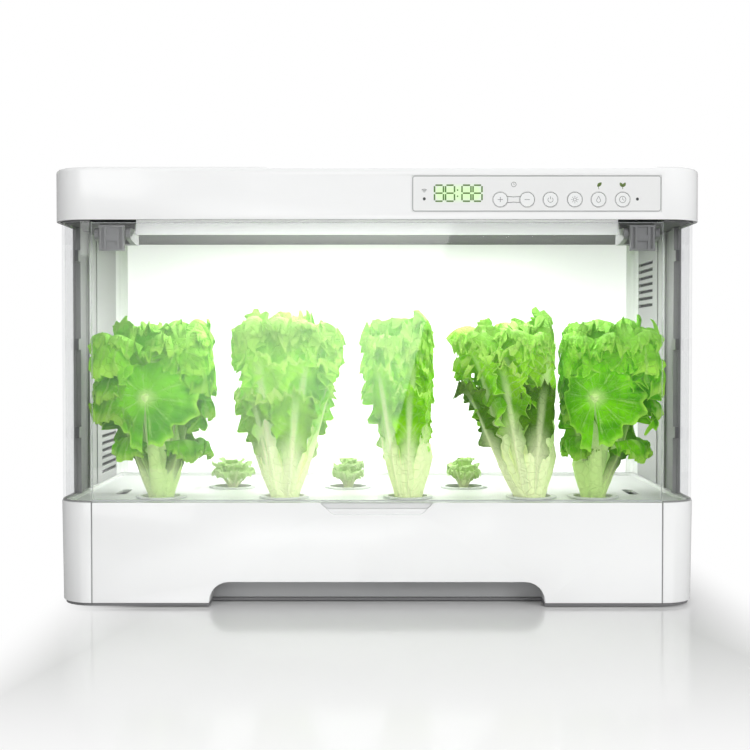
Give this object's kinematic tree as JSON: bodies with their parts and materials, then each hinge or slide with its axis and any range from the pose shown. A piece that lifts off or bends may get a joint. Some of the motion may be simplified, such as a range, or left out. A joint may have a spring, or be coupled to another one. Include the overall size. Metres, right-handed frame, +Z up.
{
  "type": "countertop hydroponic garden",
  "caption": "Lit, glazed growing cabin with a lift-up front door over a pull-out water tank, with lettuces and seedlings in net cups on a planting tray.",
  "frame": {"origin": "middle of the footprint, on the surface that the feet stand on", "axes": "+Z up, -Y out of the door's side, +X to the right as seen from the front"},
  "size_m": [0.56, 0.28, 0.377],
  "materials": {
    "white_plastic": "gloss",
    "grey_plastic": "satin",
    "clear_plastic": "clear",
    "panel_film": "satin",
    "dark_rubber": "matte",
    "black_plastic": "satin",
    "circuit_board": "satin",
    "board_metal": "satin",
    "milky_plastic": "translucent white",
    "tank_plastic": "satin",
    "leaf_round": "leaf",
    "leaf_tall": "leaf",
    "leaf_sprout": "leaf"
  },
  "bodies": {
    "cabinet": {"base_shell": "white_plastic", "plinth": "grey_plastic", "foot_1": "dark_rubber", "foot_2": "dark_rubber", "foot_3": "dark_rubber", "foot_4": "dark_rubber", "power_inlet": "black_plastic", "planting_tray": "white_plastic", "corner_window_left": "clear_plastic", "corner_window_right": "clear_plastic", "side_wall_left": "white_plastic", "side_wall_right": "white_plastic", "rear_panel": "white_plastic", "hood_shell": "white_plastic", "hood_underside": "grey_plastic", "lamp_diffuser": "milky_plastic", "led_board": "board_metal", "glare_shield": "white_plastic", "control_panel": "panel_film", "display_lens": "clear_plastic", "display_module": "black_plastic", "control_board": "circuit_board", "hinge_bracket_left": "grey_plastic", "hinge_bracket_right": "grey_plastic"},
    "door": {"door_pane": "clear_plastic", "hinge_arm_left": "grey_plastic", "hinge_arm_right": "grey_plastic"},
    "drawer": {"front_panel": "white_plastic", "water_tank": "tank_plastic", "pump_body": "black_plastic", "pump_cover": "grey_plastic", "float_stem": "grey_plastic"},
    "level_float": {"float": "milky_plastic"},
    "plant_1": {"net_cup_1": "milky_plastic", "lettuce_1": "leaf_round"},
    "plant_2": {"net_cup_2": "milky_plastic", "seedling_1": "leaf_sprout"},
    "plant_3": {"net_cup_3": "milky_plastic", "lettuce_2": "leaf_tall"},
    "plant_4": {"net_cup_4": "milky_plastic", "seedling_2": "leaf_sprout"},
    "plant_5": {"net_cup_5": "milky_plastic", "lettuce_3": "leaf_tall"},
    "plant_6": {"net_cup_6": "milky_plastic", "seedling_3": "leaf_sprout"},
    "plant_7": {"net_cup_7": "milky_plastic", "lettuce_4": "leaf_tall"},
    "plant_8": {"net_cup_8": "milky_plastic", "lettuce_5": "leaf_round"},
    "plus_key": {"key_plus": "panel_film"},
    "minus_key": {"key_minus": "panel_film"},
    "power_key": {"key_power": "panel_film"},
    "light_key": {"key_light": "panel_film"},
    "pump_key": {"key_pump": "panel_film"},
    "timer_key": {"key_timer": "panel_film"}
  },
  "joints": [
    {"name": "door_hinge", "type": "hinge", "parent": "cabinet", "child": "door", "pos_m": [0, -0.126, 0.321], "axis": [-1, 0, 0], "range_deg": [0, 85]},
    {"name": "drawer_slide", "type": "slide", "parent": "cabinet", "child": "drawer", "axis": [0, -1, 0], "range_m": [0, 0.2]},
    {"name": "float_rise", "type": "slide", "parent": "drawer", "child": "level_float", "axis": [0, 0, 1], "range_m": [0, 0.021]},
    {"name": "plant_1_lift", "type": "slide", "parent": "cabinet", "child": "plant_1", "axis": [0, 0, 1], "range_m": [0, 0.05]},
    {"name": "plant_2_lift", "type": "slide", "parent": "cabinet", "child": "plant_2", "axis": [0, 0, 1], "range_m": [0, 0.05]},
    {"name": "plant_3_lift", "type": "slide", "parent": "cabinet", "child": "plant_3", "axis": [0, 0, 1], "range_m": [0, 0.05]},
    {"name": "plant_4_lift", "type": "slide", "parent": "cabinet", "child": "plant_4", "axis": [0, 0, 1], "range_m": [0, 0.05]},
    {"name": "plant_5_lift", "type": "slide", "parent": "cabinet", "child": "plant_5", "axis": [0, 0, 1], "range_m": [0, 0.05]},
    {"name": "plant_6_lift", "type": "slide", "parent": "cabinet", "child": "plant_6", "axis": [0, 0, 1], "range_m": [0, 0.05]},
    {"name": "plant_7_lift", "type": "slide", "parent": "cabinet", "child": "plant_7", "axis": [0, 0, 1], "range_m": [0, 0.05]},
    {"name": "plant_8_lift", "type": "slide", "parent": "cabinet", "child": "plant_8", "axis": [0, 0, 1], "range_m": [0, 0.05]},
    {"name": "plus_key_press", "type": "slide", "parent": "cabinet", "child": "plus_key", "axis": [0, 1, 0], "range_m": [0, 0.0006], "stiffness_N_per_m": 400},
    {"name": "minus_key_press", "type": "slide", "parent": "cabinet", "child": "minus_key", "axis": [0, 1, 0], "range_m": [0, 0.0006], "stiffness_N_per_m": 400},
    {"name": "power_key_press", "type": "slide", "parent": "cabinet", "child": "power_key", "axis": [0, 1, 0], "range_m": [0, 0.0006], "stiffness_N_per_m": 400},
    {"name": "light_key_press", "type": "slide", "parent": "cabinet", "child": "light_key", "axis": [0, 1, 0], "range_m": [0, 0.0006], "stiffness_N_per_m": 400},
    {"name": "pump_key_press", "type": "slide", "parent": "cabinet", "child": "pump_key", "axis": [0, 1, 0], "range_m": [0, 0.0006], "stiffness_N_per_m": 400},
    {"name": "timer_key_press", "type": "slide", "parent": "cabinet", "child": "timer_key", "axis": [0, 1, 0], "range_m": [0, 0.0006], "stiffness_N_per_m": 400}
  ]
}
